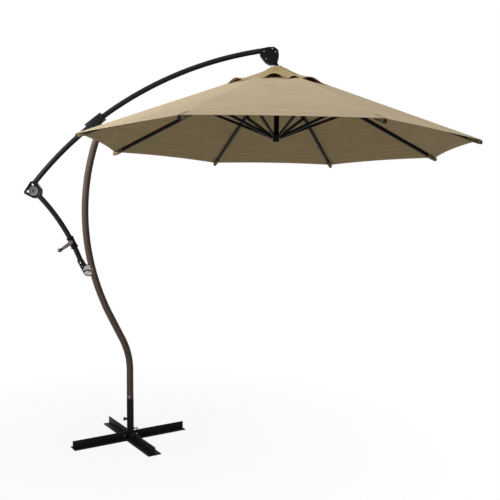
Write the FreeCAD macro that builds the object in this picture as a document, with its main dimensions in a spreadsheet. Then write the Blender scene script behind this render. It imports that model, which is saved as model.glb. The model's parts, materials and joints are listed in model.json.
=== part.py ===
import FreeCAD, Part
import Sketcher
import math
import os
import re
import sys
from types import SimpleNamespace
from FreeCAD import Placement, Rotation, Vector

# Offset patio umbrella: a cross of steel tees carries a short post, a curved mast turns in the post,
# a curved boom and a curved strut form a rigid triangle with the mast, and an eight-rib canopy hangs
# from the tilting head at the end of the boom. Millimetres, +Z up, origin on the floor under the post.

sizes = {
    # base
    "armReach": 396, "armTurn": 33.97, "flangeWidth": 88, "steelPlate": 6, "beamHeight": 52,
    "bracketLeg": 34, "bracketPlate": 4, "bracketHeight": 34, "bracketBolt": 4, "bracketInset": 3,
    "bracketToe": 14, "boltLevel": 28, "boltHead": 4, "boltFlange": 1.5,
    # post, bushing and spigot
    "postOuter": 46, "postWall": 2, "postTop": 270, "bushingFlange": 4, "bushingDepth": 60, "bushingWall": 1.2,
    "runClearance": 0.3, "spigotWall": 2.5, "spigotBottom": 62, "spigotTop": 430,
    "lockHeight": 133, "lockStud": 4, "lockKnobRadius": 12, "lockKnobLength": 16, "lockBoss": 8,
    "studClearance": 0.1, "pinchHeight": 70, "pinchReach": 50, "pinchHeadRadius": 9, "pinchHeadLength": 7,
    "pinchNutRadius": 8, "pinchNutLength": 8,
    # mast
    "mastOuter": 45, "mastWall": 2, "uprightTop": 470, "lowerBend": 458, "mastLean": 27.33,
    "mastStraight": 156, "upperBend": 1540, "upperTurn": 49.6,
    "buttonHeight": 290, "buttonRadius": 4, "buttonReach": 5,
    # saddle, placed from the top of the mast, and boom, which lies in the saddle
    "saddleTurn": 127.3, "saddleRise": 5.49, "saddleSide": 44.17,
    "boomOuter": 34, "boomWall": 2, "boomBend": 2400, "boomFoot": 141.3, "boomHead": 97.6,
    # elbow pin from the foot of the boom, foot pin from the mast, and strut between the two
    "elbowAhead": 36.55, "elbowInset": 33.04, "footLevel": 14.188, "footReach": 21.38,
    "sleeveSide": 52.73, "sleeveRise": 45.51, "strutOuter": 34, "strutWall": 2, "strutBend": 1329.2,
    "crankRise": 6.55, "crankGrip": 1.55,
    # knuckles
    "knuckleRadius": 46, "knuckleWidth": 38, "discRadius": 33, "discThick": 4, "lugThick": 16, "pinRadius": 6,
    "pinReach": 3, "forkClearance": 2, "lugClearance": 0.3, "sleeveWall": 4, "eyeNeck": 28.8,
    "saddleLength": 130, "saddleWidth": 50, "saddleDepth": 56, "socketLength": 62, "socketOverlap": 8,
    "splitGap": 0.3,
    # crank
    "housingRadius": 22, "housingWall": 3, "housingLength": 78, "collarRadius": 25, "collarLength": 9,
    "crankShaft": 5, "drumRadius": 11, "drumLength": 24, "crankThrow": 87.5, "crankTurnAngle": 215,
    "crankHub": 12, "crankTip": 7, "crankThick": 8, "crankStandoff": 28, "gripRadius": 13, "gripLength": 22,
    # head, placed from the head end of the boom
    "headAhead": 27.62, "headDrop": 39.12, "headRadius": 57, "headWidth": 50, "headWall": 4, "pulleyRadius": 30,
    "pulleyWidth": 12, "axleRadius": 5, "forkGap": 18, "forkPlate": 4, "forkWidth": 22, "neckRadius": 12,
    "tiltKnobRadius": 9, "tiltKnobLength": 16,
    # canopy frame, placed from the head's pin and measured along and across its own axis
    "canopyAhead": 47.5, "canopyDrop": 126, "canopyLean": 1.1, "ribCount": 8,
    "pivotRadius": 35, "tipRadius": 1280, "canopyRise": 505, "ribWidth": 14, "ribDepth": 22, "ribWall": 1,
    "ribAbove": 23, "linkLength": 540, "linkWidth": 12, "linkDepth": 18, "linkWall": 1,
    "tongueThick": 8, "slotClearance": 0.5, "hubRadius": 46, "hubDepth": 22, "hubPin": 2, "jointPin": 3,
    "stemRadius": 18, "stemTop": 56, "guideRadius": 17.5, "guideWall": 2, "guideTop": 2,
    "collarDrop": 20, "guideCollar": 21.5, "cheekPlate": 2.5, "cheekLength": 30, "ribStart": 24,
    "ribPlug": 30, "linkStart": 18, "linkPlug": 22, "tongueRadius": 7, "tipSleeve": 22, "tipWall": 1.5,
    # cloth
    "clothThick": 1.2, "clothGap": 0.3, "ventRadius": 190, "capRadius": 357, "capInner": 46, "capTop": 54,
    "capBelly": 0.42, "panelGap": 0.3, "tipCap": 6,
}
v = SimpleNamespace(**sizes)

doc = FreeCAD.newDocument("OffsetUmbrella")
sheet = doc.addObject("Spreadsheet::Sheet", "sizes")
for row, (alias, value) in enumerate(sizes.items(), 1):
    sheet.set(f"A{row}", alias)
    sheet.set(f"B{row}", str(value))
    sheet.setAlias(f"B{row}", alias)
doc.recompute()

nodes = []
serial = {"count": 0}
toFront = (0, -1, 0)
toRear = (0, 1, 0)


# ---- helpers -------------------------------------------------------------------------------------

def fresh(word):
    serial["count"] += 1
    return f"{word}_{serial['count']}"


def linked(text):
    """Turn the size names in an expression into references to the sheet's cells."""
    return re.sub(r"[A-Za-z_]\w*", lambda m: "sizes." + m.group() if m.group() in sizes else m.group(), text)


def bind(thing, **expressions):
    for prop, text in expressions.items():
        thing.setExpression(prop, linked(str(text)))
    return thing


def facing(point, axis, across=None):
    """Placement at a point whose own Z runs along axis and whose own X is as near across as it can be."""
    axis = Vector(*axis).normalize()
    across = Vector(*across) if across else (Vector(0, 1, 0) if abs(axis.y) < 0.9 else Vector(1, 0, 0))
    return Placement(Vector(*point), Rotation(across, Vector(0, 0, 0), axis, "ZXY"))


def cylinder(radius, height, place=Placement()):
    rod = bind(doc.addObject("Part::Cylinder", fresh("rod")), Radius=radius, Height=height)
    rod.Placement = place
    return rod


def cone(low, high, height, place=Placement()):
    taper = bind(doc.addObject("Part::Cone", fresh("taper")), Radius1=low, Radius2=high, Height=height)
    taper.Placement = place
    return taper


def block(length, width, height, place=Placement(), centred=(True, True, False)):
    """Box centred on its placement along the axes marked True."""
    piece = bind(doc.addObject("Part::Box", fresh("block")), Length=length, Width=width, Height=height)
    doc.recompute([piece])
    lengths = (piece.Length.Value, piece.Width.Value, piece.Height.Value)
    shift = Vector(*[-0.5 * size if middle else 0 for size, middle in zip(lengths, centred)])
    piece.Placement = place.multiply(Placement(shift, Rotation()))
    return piece


def cut(base, *tools):
    result = doc.addObject("Part::Cut", fresh("cut"))
    result.Base = base
    result.Tool = tools[0] if len(tools) == 1 else fuse(*tools)
    return result


def fuse(*pieces):
    if len(pieces) == 1:
        return pieces[0]
    result = doc.addObject("Part::MultiFuse", fresh("fuse"))
    result.Shapes = list(pieces)
    result.Refine = True
    return result


def common(first, second):
    result = doc.addObject("Part::MultiCommon", fresh("common"))
    result.Shapes = [first, second]
    return result


def node(name, *members, place=Placement()):
    """One sub-part: its solids, at its place, under the name of its file."""
    group = doc.addObject("Part::Compound", name)
    group.Links = list(members)
    group.Placement = place
    group.Label = name
    nodes.append(group)
    return group


def arcRod(bend, radius, centre, start, sweep):
    """Round rod bent in the XZ plane, from the start angle on, angles counted from +X towards +Z."""
    rod = doc.addObject("Part::Torus", fresh("bend"))
    bind(rod, Radius1=bend, Radius2=radius, Angle3=sweep)
    along = math.radians(start)
    outward = Vector(math.cos(along), 0, math.sin(along))
    onward = Vector(-math.sin(along), 0, math.cos(along))
    rod.Placement = Placement(Vector(centre[0], 0, centre[1]), Rotation(outward, onward, Vector(0, -1, 0), "ZXY"))
    return rod


def onArc(centre, radius, degrees):
    turn = math.radians(degrees)
    return Vector(centre[0] + radius * math.cos(turn), 0, centre[1] + radius * math.sin(turn))


def arcTangent(degrees):
    turn = math.radians(degrees)
    return Vector(-math.sin(turn), 0, math.cos(turn))


def turned(name, outline, hole="0"):
    """Body of revolution about Z from (radius, height) expressions, with a plain bore."""
    body = doc.addObject("PartDesign::Body", fresh(name))
    sketch = body.newObject("Sketcher::SketchObject", fresh("outline"))
    plane = [item for item in body.Origin.OriginFeatures if item.Role == "XZ_Plane"][0]
    sketch.AttachmentSupport = [(plane, "")]
    sketch.MapMode = "FlatFace"
    probe = doc.addObject("Part::Vertex", fresh("probe"))
    corners = []
    for radius, height in outline:
        bind(probe, X=radius, Y=height)
        doc.recompute([probe])
        corners.append(Vector(probe.X.Value, probe.Y.Value, 0))
    doc.removeObject(probe.Name)
    for index, corner in enumerate(corners):
        following = corners[(index + 1) % len(corners)]
        sketch.addGeometry(Part.LineSegment(corner, following), False)
    for index in range(len(corners)):
        sketch.addConstraint(Sketcher.Constraint("Coincident", index, 2, (index + 1) % len(corners), 1))
    for index, (radius, height) in enumerate(outline):
        for kind, text, value in (("DistanceX", radius, corners[index].x), ("DistanceY", height, corners[index].y)):
            number = sketch.addConstraint(Sketcher.Constraint(kind, -1, 1, index, 1, value))
            sketch.setExpression(f"Constraints[{number}]", linked(text))
    spin = body.newObject("PartDesign::Revolution", fresh("spin"))
    spin.Profile = sketch
    spin.ReferenceAxis = (sketch, ["V_Axis"])
    spin.Angle = 360
    doc.recompute()
    return body


def polygonPlate(points, thickness, middle=0.0):
    """Flat plate in the XZ plane, centred on y = middle, from its corner points."""
    corners = [Vector(x, middle - thickness / 2, z) for x, z in points]
    face = Part.Face(Part.makePolygon(corners + corners[:1]))
    plate = doc.addObject("Part::Feature", fresh("plate"))
    plate.Shape = face.extrude(Vector(0, thickness, 0))
    return plate


# ---- base: two crossed tees, angle brackets and the post --------------------------------------------

def tee(start, reach, turn):
    """Inverted tee beam that runs outwards from start, with its end faces square."""
    place = Placement(Vector(), Rotation(Vector(0, 0, 1), turn)).multiply(Placement(Vector(start, 0, 0), Rotation()))
    flangeStart = 0 if start < 0 else v.flangeWidth / 2 - start
    flangeLength = f"{reach} - {flangeStart}"
    flange = block(flangeLength, "flangeWidth", "steelPlate",
                   place.multiply(Placement(Vector(flangeStart, 0, 0), Rotation())), (False, True, False))
    web = block(reach, "steelPlate", "beamHeight - steelPlate",
                place.multiply(Placement(Vector(0, 0, v.steelPlate), Rotation())), (False, True, False))
    return fuse(flange, web)


shortReach = "armReach - steelPlate / 2"
node("base_beam_long", tee(-v.armReach, "2 * armReach", v.armTurn))
node("base_beam_short", *[tee(v.steelPlate / 2, shortReach, v.armTurn + turn) for turn in (-90, 90)])

brackets = []
bolts = []
for quarter in range(4):
    turn = Placement(Vector(), Rotation(Vector(0, 0, 1), v.armTurn + 90 * quarter))
    inner = v.postOuter / 2 + v.bracketInset
    for leg, along in ((0, True), (1, False)):
        place = turn.multiply(Placement(Vector(), Rotation(Vector(0, 0, 1), 90 * leg)))
        side = 1 if leg == 0 else -1
        offset = side * (v.steelPlate / 2 + v.bracketPlate / 2)
        seat = place.multiply(Placement(Vector(inner, offset, v.steelPlate), Rotation()))
        plate = block("bracketLeg", "bracketPlate", "bracketHeight", seat, (False, True, False))
        brackets.append(plate)
        boltAt = place.multVec(Vector(inner + v.bracketLeg / 2, side * (v.steelPlate / 2 + v.bracketPlate), v.boltLevel))
        outward = place.Rotation.multVec(Vector(0, side, 0))
        bolts.append(cylinder("bracketBolt + boltFlange", "boltHead", facing(boltAt, outward)))
        foot = seat.multiply(Placement(Vector(0, side * (v.bracketPlate / 2), 0), Rotation()))
        toe = foot.multiply(Placement(Vector(0, side * v.bracketToe / 2, 0), Rotation()))
        brackets.append(block("bracketLeg", "bracketToe", "bracketPlate", toe, (False, True, False)))
node("corner_brackets", *[fuse(brackets[i], brackets[i + 1]) for i in range(0, len(brackets), 2)])

postTube = turned("post", [("postOuter / 2 - postWall", "steelPlate"), ("postOuter / 2", "steelPlate"),
                           ("postOuter / 2", "postTop"), ("postOuter / 2 - postWall", "postTop")])
webSlots = [block("3 * postOuter", "steelPlate", "beamHeight",
                  Placement(Vector(), Rotation(Vector(0, 0, 1), v.armTurn + turn))) for turn in (0, 90)]
studHole = cylinder("lockStud + studClearance", "postOuter", facing((0, 0, v.lockHeight), (-1, 0, 0)))
pinchHole = cylinder("lockStud", "postOuter", facing((0, 0, v.pinchHeight), (1, 0, 0)))
postBody = cut(postTube, *webSlots, studHole, pinchHole)
boss = cylinder("lockBoss", "7", facing((-v.postOuter / 2 + 1.6, 0, v.lockHeight), (-1, 0, 0)))
bossHole = cylinder("lockStud + studClearance", "12", facing((-v.postOuter / 2 + 4, 0, v.lockHeight), (-1, 0, 0)))
postClear = cylinder("postOuter / 2", "postTop", Placement(Vector(0, 0, 0), Rotation()))
node("base_post", postBody, cut(boss, bossHole, postClear))
pinchBolt = cylinder("lockStud", "pinchReach - postOuter / 2 + 3",
                     facing((v.postOuter / 2 - 3, 0, v.pinchHeight), (1, 0, 0)))
pinchHead = cylinder("pinchHeadRadius", "pinchHeadLength",
                     facing((v.pinchReach - v.pinchHeadLength, 0, v.pinchHeight), (1, 0, 0)))
pinchNut = cylinder("pinchNutRadius", "pinchNutLength", facing((v.postOuter / 2 + 0.8, 0, v.pinchHeight), (1, 0, 0)))
node("base_bolts", cut(fuse(pinchBolt, pinchHead, pinchNut), postClear), *bolts)

bore = "postOuter / 2 - postWall"
bearing = f"{bore} - bushingWall"
node("post_bushing", turned("bushing", [
    (bearing, "postTop - bushingDepth"), (bore, "postTop - bushingDepth"), (bore, "postTop"),
    ("postOuter / 2", "postTop"), ("postOuter / 2", "postTop + bushingFlange"),
    (bearing, "postTop + bushingFlange")]))
knobPlace = facing((-v.postOuter / 2 - 7.4, 0, v.lockHeight), (-1, 0, 0))
lockStud = cylinder("lockStud - 0.2", "10", facing((-v.postOuter / 2 + 1.5, 0, v.lockHeight), (-1, 0, 0)))
lockKnob = turned("knob", [("0", "0"), ("lockBoss - 1", "0"), ("lockKnobRadius", "4"),
                           ("lockKnobRadius", "lockKnobLength - 3"), ("lockKnobRadius - 3", "lockKnobLength"),
                           ("0", "lockKnobLength")])
lockKnob.Placement = knobPlace
flutes = []
for notch in range(6):
    spot = Rotation(Vector(0, 0, 1), 60 * notch).multVec(Vector(v.lockKnobRadius + 1.2, 0, 0))
    flutes.append(cylinder("2.6", "lockKnobLength + 2", knobPlace.multiply(Placement(spot + Vector(0, 0, -1), Rotation()))))
node("post_lock_knob", fuse(cut(lockKnob, *flutes), lockStud))

# ---- mast: spigot, curved tube and snap button ------------------------------------------------------

mastFoot = v.postTop + v.bushingFlange + v.runClearance
spigot = turned("spigot", [(f"{bearing} - runClearance - spigotWall", "spigotBottom"),
                           (f"{bearing} - runClearance", "spigotBottom"), (f"{bearing} - runClearance", "spigotTop"),
                           (f"{bearing} - runClearance - spigotWall", "spigotTop")])
buttonAt = Vector(0, -v.mastOuter / 2 - v.buttonReach, v.buttonHeight)
buttonHole = cylinder("buttonRadius + runClearance", "20", facing(buttonAt - Vector(0, 1, 0), (0, 1, 0)))
node("mast_spigot", cut(spigot, buttonHole))


def mastPipe(outerExpression, innerExpression):
    """The mast's tube: upright, lower bend, straight and upper bend, as one pipe."""
    body = doc.addObject("PartDesign::Body", fresh("mast"))
    planes = {item.Role: item for item in body.Origin.OriginFeatures}
    route = body.newObject("Sketcher::SketchObject", fresh("route"))
    route.AttachmentSupport = [(planes["XZ_Plane"], "")]
    route.MapMode = "FlatFace"
    lean = math.radians(v.mastLean)
    top = math.radians(v.upperTurn)
    bendEnd = Vector(-v.lowerBend * (1 - math.cos(lean)), v.uprightTop + v.lowerBend * math.sin(lean), 0)
    run = Vector(-math.sin(lean), math.cos(lean), 0)
    side = Vector(math.cos(lean), math.sin(lean), 0)
    straightEnd = bendEnd + run * v.mastStraight
    upperCentre = straightEnd + side * v.upperBend
    start = Vector(0, mastFoot, 0)
    upright = Vector(0, v.uprightTop, 0)
    upperEnd = upperCentre + Vector(-math.cos(lean - top), -math.sin(lean - top), 0) * v.upperBend
    lowerMiddle = Vector(-v.lowerBend * (1 - math.cos(lean / 2)), v.uprightTop + v.lowerBend * math.sin(lean / 2), 0)
    half = lean - top / 2
    upperMiddle = upperCentre + Vector(-math.cos(half), -math.sin(half), 0) * v.upperBend
    route.addGeometry(Part.LineSegment(start, upright), False)
    route.addGeometry(Part.Arc(upright, lowerMiddle, bendEnd), False)
    route.addGeometry(Part.LineSegment(bendEnd, straightEnd), False)
    route.addGeometry(Part.Arc(straightEnd, upperMiddle, upperEnd), False)
    ring = body.newObject("Sketcher::SketchObject", fresh("ring"))
    ring.AttachmentSupport = [(planes["XY_Plane"], "")]
    ring.MapMode = "FlatFace"
    ring.AttachmentOffset = Placement(Vector(0, 0, mastFoot), Rotation())
    for number, text in enumerate(item for item in (outerExpression, innerExpression) if item):
        ring.addGeometry(Part.Circle(Vector(), Vector(0, 0, 1), v.mastOuter / 2 - number * v.mastWall), False)
        ring.addConstraint(Sketcher.Constraint("Coincident", number, 3, -1, 1))
        radius = ring.addConstraint(Sketcher.Constraint("Radius", number, v.mastOuter / 2 - number * v.mastWall))
        ring.setExpression(f"Constraints[{radius}]", linked(text))
    pipe = body.newObject("PartDesign::AdditivePipe", fresh("pipe"))
    pipe.Profile = ring
    pipe.Spine = (route, [f"Edge{number}" for number in range(1, 5)])
    pipe.Mode = "Frenet"
    doc.recompute()
    return body, upperCentre, upperEnd


mastTube, mastCentre, mastTop = mastPipe("mastOuter / 2", "mastOuter / 2 - mastWall")
mastSolid = mastPipe("mastOuter / 2", "")[0]
mastCentre = (mastCentre.x, mastCentre.y)
mastTop = Vector(mastTop.x, 0, mastTop.y)
topLean = v.upperTurn - v.mastLean
topPin = onArc(mastCentre, v.upperBend, 180 - topLean + 0.7)
node("mast_tube", cut(mastTube, buttonHole, cylinder("pinRadius", "80", facing(topPin - Vector(0, 40, 0), (0, 1, 0)))))
button = turned("button", [("0", "0"), ("buttonRadius - 1", "0"), ("buttonRadius", "1"), ("buttonRadius", "12"),
                           ("0", "12")])
button.Placement = facing(buttonAt, (0, 1, 0))
node("mast_button", button)

# ---- boom, strut and the three knuckles -------------------------------------------------------------

def throughBoth(first, second, radius):
    """Centre of the circle of that radius through two points, on the left of the way from second to first."""
    span = first - second
    middle = (first + second) * 0.5
    across = Vector(-span.z, 0, span.x).normalize()
    return middle + across * math.sqrt(radius ** 2 - (span.Length / 2) ** 2)


def turnOf(point, centre):
    return math.degrees(math.atan2(point.z - centre[1], point.x - centre[0]))


mastRun = Vector(math.sin(math.radians(topLean)), 0, math.cos(math.radians(topLean)))
mastSide = Vector(mastRun.z, 0, -mastRun.x)
saddleAt = mastTop + mastRun * v.saddleRise - mastSide * v.saddleSide
boomMiddle = saddleAt - onArc((0, 0), v.boomBend, v.saddleTurn)
boomCentre = (boomMiddle.x, boomMiddle.z)
boomEnd = onArc(boomCentre, v.boomBend, v.boomFoot)
along = arcTangent(v.boomFoot)
outward = (boomEnd - boomMiddle).normalize()
elbowPin = boomEnd + along * v.elbowAhead - outward * v.elbowInset
footPin = onArc(mastCentre, v.upperBend + v.footReach, 180 + v.footLevel)
sleeveEnd = footPin + Vector(-v.sleeveSide, 0, v.sleeveRise)
strutMiddle = throughBoth(elbowPin, sleeveEnd, v.strutBend)
strutCentre = (strutMiddle.x, strutMiddle.z)
footTurn = turnOf(sleeveEnd, strutCentre)
elbowTurn = turnOf(elbowPin, strutCentre)
crankTurn = footTurn + v.crankRise


def boomRod(radius, start, sweep):
    return arcRod("boomBend", radius, boomCentre, start, sweep)


def strutRod(radius, start, sweep):
    return arcRod("strutBend", radius, strutCentre, start, sweep)


node("boom_tube", cut(boomRod("boomOuter / 2", v.boomHead, "boomFoot - boomHead"),
                      boomRod("boomOuter / 2 - boomWall", v.boomHead - 1, "boomFoot - boomHead + 2")))
strutOuter = "strutOuter / 2"
strutInner = "strutOuter / 2 - strutWall"
upperStart = crankTurn + v.crankGrip
upperEnd = elbowTurn - math.degrees((v.knuckleRadius + 2) / v.strutBend)
node("strut_upper_tube", cut(strutRod(strutOuter, upperStart, upperEnd - upperStart),
                             strutRod(strutInner, upperStart - 1, upperEnd - upperStart + 2)))
lowerEnd = crankTurn - v.crankGrip
node("strut_lower_tube", cut(strutRod(strutOuter, footTurn, lowerEnd - footTurn),
                             strutRod(strutInner, footTurn - 1, lowerEnd - footTurn + 2)))


def disc(radius, width, centre):
    """Disc in the XZ plane, its width split evenly about y = 0."""
    rod = cylinder(radius, width, Placement())
    doc.recompute([rod])
    rod.Placement = facing(centre + Vector(0, -rod.Height.Value / 2, 0), (0, 1, 0))
    return rod


def faceDiscs(centre, *clear):
    caps = []
    for side in (-1, 1):
        start = centre + Vector(0, side * v.knuckleWidth / 2, 0)
        cap = fuse(cylinder("discRadius", "discThick - 1.5", facing(start, (0, side, 0))),
                   cone("discRadius", "discRadius - 4", "1.5",
                        facing(start + Vector(0, side * (v.discThick - 1.5), 0), (0, side, 0))))
        caps.append(cut(cap, *clear) if clear else cap)
    return caps


def pinHole(centre, radius="pinRadius"):
    return cylinder(radius, "100", facing(centre - Vector(0, 50, 0), (0, 1, 0)))


# elbow: wedge casting on the boom's foot, forked round the strut's eye
sleeveTop = onArc(boomCentre, v.boomBend, v.boomFoot - 1.1)
corners = [sleeveTop + outward * 23, boomEnd + along * 60 + outward * 10, elbowPin - outward * 6 + along * 50,
           elbowPin - outward * 40 - along * 10, sleeveTop - outward * 22]
wedge = polygonPlate([(corner.x, corner.z) for corner in corners], v.knuckleWidth)
elbowBody = fuse(disc("knuckleRadius", "knuckleWidth", elbowPin), wedge)
elbowSlot = disc("knuckleRadius + forkClearance", "lugThick + 2 * lugClearance", elbowPin)
node("elbow_casting", cut(elbowBody, elbowSlot, boomRod("boomOuter / 2", v.boomHead, "boomFoot - boomHead"),
                          pinHole(elbowPin)))
tubeEnd = onArc(strutCentre, v.strutBend, upperEnd)
eyeRun = elbowPin - tubeEnd
neck = block("eyeNeck", "lugThick", f"{eyeRun.Length + 2}",
             facing(tubeEnd - eyeRun.normalize() * 2, tuple(eyeRun), (1, 0, 1)))
plugTurn = 1.2
plug = strutRod(f"{strutInner} - runClearance", upperEnd - plugTurn, plugTurn + 0.04)
eyeBody = cut(fuse(disc("discRadius", "lugThick", elbowPin), neck), strutRod(strutOuter, upperEnd - plugTurn, plugTurn))
node("strut_eye", cut(fuse(eyeBody, plug), pinHole(elbowPin)))
elbowDiscs = [cut(cap, pinHole(elbowPin)) for cap in faceDiscs(elbowPin)]
boltLength = "knuckleWidth + 2 * discThick + 2 * pinReach"
elbowBolt = disc("pinRadius", boltLength, elbowPin)

# strut foot: forked round knuckle on a lug that is welded to the mast
mastAcross = onArc(mastCentre, v.upperBend, 180 + math.degrees(math.asin((mastCentre[1] - footPin.z) / v.upperBend)))
mastSlope = arcTangent(math.degrees(math.atan2(mastAcross.z - mastCentre[1], mastAcross.x - mastCentre[0])))
behindMast = block("120", "120", "300", facing(mastAcross, tuple(-mastSlope), (1, 0, 0)), (False, True, True))
mastShadow = fuse(mastSolid, behindMast)
footBody = disc("knuckleRadius", "knuckleWidth", footPin)
footSlot = disc("knuckleRadius + forkClearance", "lugThick + 2 * lugClearance", footPin)
footSleeve = strutRod("strutOuter / 2 + sleeveWall", footTurn - 1.4, 3.0)
footBore = strutRod("strutOuter / 2", footTurn, 4)
footFork = cut(fuse(footBody, footSleeve), footBore, cut(footSlot, strutRod("strutOuter", footTurn - 0.2, 4)),
               mastShadow, pinHole(footPin))
node("strut_foot", footFork)
lugAnchor = block("2 * discRadius", "lugThick", "1.3 * discRadius",
                  facing(footPin + Vector(6, 0, 0), (1, 0, -0.25), (0, 0, 1)))
node("mast_lug", cut(fuse(disc("discRadius", "lugThick", footPin), lugAnchor), mastShadow, pinHole(footPin)))
footDiscs = [cut(cap, pinHole(footPin)) for cap in faceDiscs(footPin, mastShadow)]
node("knuckle_discs", *elbowDiscs, *footDiscs)
footBolt = cut(disc("pinRadius", boltLength, footPin), mastShadow)

# saddle: two half castings that clamp the boom and hold the head of the mast
saddleBox = block("saddleWidth", "saddleDepth", "saddleLength",
                  facing(saddleAt, arcTangent(v.saddleTurn), (1, 0, 0)), (True, True, True))
socketBox = block("saddleDepth", "saddleDepth", "socketLength",
                  facing(mastTop - mastRun * (v.socketLength - v.socketOverlap), mastRun, (1, 0, 0)))
saddle = fuse(saddleBox, socketBox)
boomClear = boomRod("boomOuter / 2", v.boomHead, "boomFoot - boomHead")
for label, side in (("saddle_front", -1), ("saddle_rear", 1)):
    half = block("600", "60", "600", Placement(Vector(saddleAt.x, side * v.splitGap / 2, saddleAt.z), Rotation()),
                 (True, False, True))
    if side < 0:
        half.Placement = Placement(half.Placement.Base + Vector(0, -60, 0), Rotation())
    node(label, cut(common(saddle, half), boomClear, mastSolid, pinHole(topPin)))
node("knuckle_bolts", elbowBolt, footBolt, disc("pinRadius", "saddleDepth + 12", topPin))

# ---- crank: split housing in the strut, shaft with drum, arm and grip --------------------------------

crankAt = onArc(strutCentre, v.strutBend, crankTurn)
strutRun = arcTangent(crankTurn)
barrelPlace = facing(crankAt - strutRun * (v.housingLength / 2), strutRun, (0, 1, 0))
barrel = turned("barrel", [("0", "0"), ("collarRadius", "0"), ("collarRadius", "collarLength"),
                           ("housingRadius", "collarLength"), ("housingRadius", "housingLength - collarLength"),
                           ("collarRadius", "housingLength - collarLength"), ("collarRadius", "housingLength"),
                           ("0", "housingLength")])
barrel.Placement = barrelPlace
cavity = cylinder("housingRadius - housingWall", "drumLength + 14",
                  facing(crankAt - strutRun * (v.drumLength + 14) / 2, strutRun, (0, 1, 0)))
shaftHole = cylinder("crankShaft + runClearance", "80", facing(crankAt - Vector(0, 40, 0), (0, 1, 0)))
tubeClear = fuse(strutRod(strutOuter, upperStart, 6), strutRod(strutOuter, lowerEnd - 6, 6))
for label, side in (("crank_housing_front", -1), ("crank_housing_rear", 1)):
    half = block("200", "40", "200", Placement(Vector(crankAt.x, side * v.splitGap / 2 - (40 if side < 0 else 0), crankAt.z),
                                               Rotation()), (True, False, True))
    node(label, cut(common(barrel, half), cavity, tubeClear, shaftHole))
shaft = cylinder("crankShaft", "crankStandoff + crankThick + 16", facing(crankAt + Vector(0, 16, 0), toFront))
drum = turned("drum", [("0", "0"), ("drumRadius + 3", "0"), ("drumRadius + 3", "2"), ("drumRadius - 2", "2"),
                       ("drumRadius - 2", "drumLength - 2"), ("drumRadius + 3", "drumLength - 2"),
                       ("drumRadius + 3", "drumLength"), ("0", "drumLength")])
drum.Placement = facing(crankAt + Vector(0, v.drumLength / 2, 0), toFront)
node("crank_shaft", fuse(shaft, drum))
armTurn = math.radians(v.crankTurnAngle)
gripAt = crankAt + Vector(math.cos(armTurn), 0, math.sin(armTurn)) * v.crankThrow
armY = Vector(0, -v.crankStandoff, 0)
armRun = Vector(math.cos(armTurn), 0, math.sin(armTurn))
armSide = Vector(-math.sin(armTurn), 0, math.cos(armTurn))
armOutline = [crankAt + armSide * v.crankHub, gripAt + armSide * v.crankTip, gripAt - armSide * v.crankTip,
              crankAt - armSide * v.crankHub]
armPlate = polygonPlate([(corner.x, corner.z) for corner in armOutline], v.crankThick,
                        -v.crankStandoff - v.crankThick / 2)
armHub = cylinder("crankHub", "crankThick + 2", facing(crankAt + armY + Vector(0, 1, 0), toFront))
armTip = cylinder("crankTip", "crankThick", facing(gripAt + armY, toFront))
shaftBore = cylinder("crankShaft", "100", facing(crankAt + Vector(0, 50, 0), toFront))
stud = cylinder("3", "gripLength + crankThick - 2", facing(gripAt + armY, toFront))
node("crank_arm", fuse(cut(fuse(armPlate, armHub, armTip), shaftBore), stud))
grip = turned("grip", [("3.3", "0"), ("gripRadius - 3", "0"), ("gripRadius", "4"), ("gripRadius", "gripLength - 5"),
                       ("gripRadius - 4", "gripLength"), ("0", "gripLength"), ("0", "gripLength - 1"),
                       ("3.3", "gripLength - 1.5")])
grip.Placement = facing(gripAt + armY - Vector(0, v.crankThick + v.runClearance, 0), toFront)
node("crank_grip", grip)

# ---- head: two shells, axle, pulley, tilting fork and its knob ---------------------------------------

headPin = onArc(boomCentre, v.boomBend, v.boomHead) + Vector(v.headAhead, 0, -v.headDrop)
canopy = Placement(headPin + Vector(v.canopyAhead, 0, -v.canopyDrop), Rotation(Vector(0, 1, 0), v.canopyLean))
forkDown = canopy.multVec(Vector(0, 0, v.stemTop))
window = []
for step in range(0, 8):
    turn = -75 + 10 * step
    window.append(block("headRadius", "forkGap + 2 * forkPlate + 4", "forkWidth + 6",
                        facing(headPin, (math.cos(math.radians(turn)), 0, math.sin(math.radians(turn))), (0, 0, 1))
                        .multiply(Placement(Vector(), Rotation(Vector(0, 1, 0), -90))), (False, True, True)))
headSocket = boomRod("boomOuter / 2 + 5", v.boomHead - 0.5, 1.7)
for label, side in (("head_shell_front", -1), ("head_shell_rear", 1)):
    shellPlace = facing(headPin + Vector(0, side * v.splitGap / 2, 0), (0, side, 0))
    shell = turned("shell", [("0", "0"), ("headRadius", "0"), ("headRadius", "headWidth / 2 - 7"),
                             ("headRadius - 7", "headWidth / 2"), ("0", "headWidth / 2")])
    shell.Placement = shellPlace
    hollow = cylinder("headRadius - headWall", "headWidth / 2 - headWall",
                      facing(headPin, (0, side, 0)))
    half = block("300", "40", "300", Placement(Vector(headPin.x - 60, side * v.splitGap / 2 - (40 if side < 0 else 0), headPin.z),
                                               Rotation()), (True, False, True))
    socketHalf = cut(common(headSocket, half), disc("headRadius - 2", "100", headPin))
    node(label, cut(fuse(shell, socketHalf), hollow, boomRod("boomOuter / 2", v.boomHead, 6), *window,
                    pinHole(headPin, "axleRadius")))
node("head_axle", disc("axleRadius", "headWidth + 6", headPin))
pulley = turned("pulley", [("axleRadius + 0.3", "0"), ("pulleyRadius", "0"), ("pulleyRadius - 4", "pulleyWidth / 2"),
                           ("pulleyRadius", "pulleyWidth"), ("axleRadius + 0.3", "pulleyWidth")])
pulley.Placement = facing(headPin + Vector(0, -v.pulleyWidth / 2, 0), (0, 1, 0))
node("head_pulley", pulley)

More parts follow.
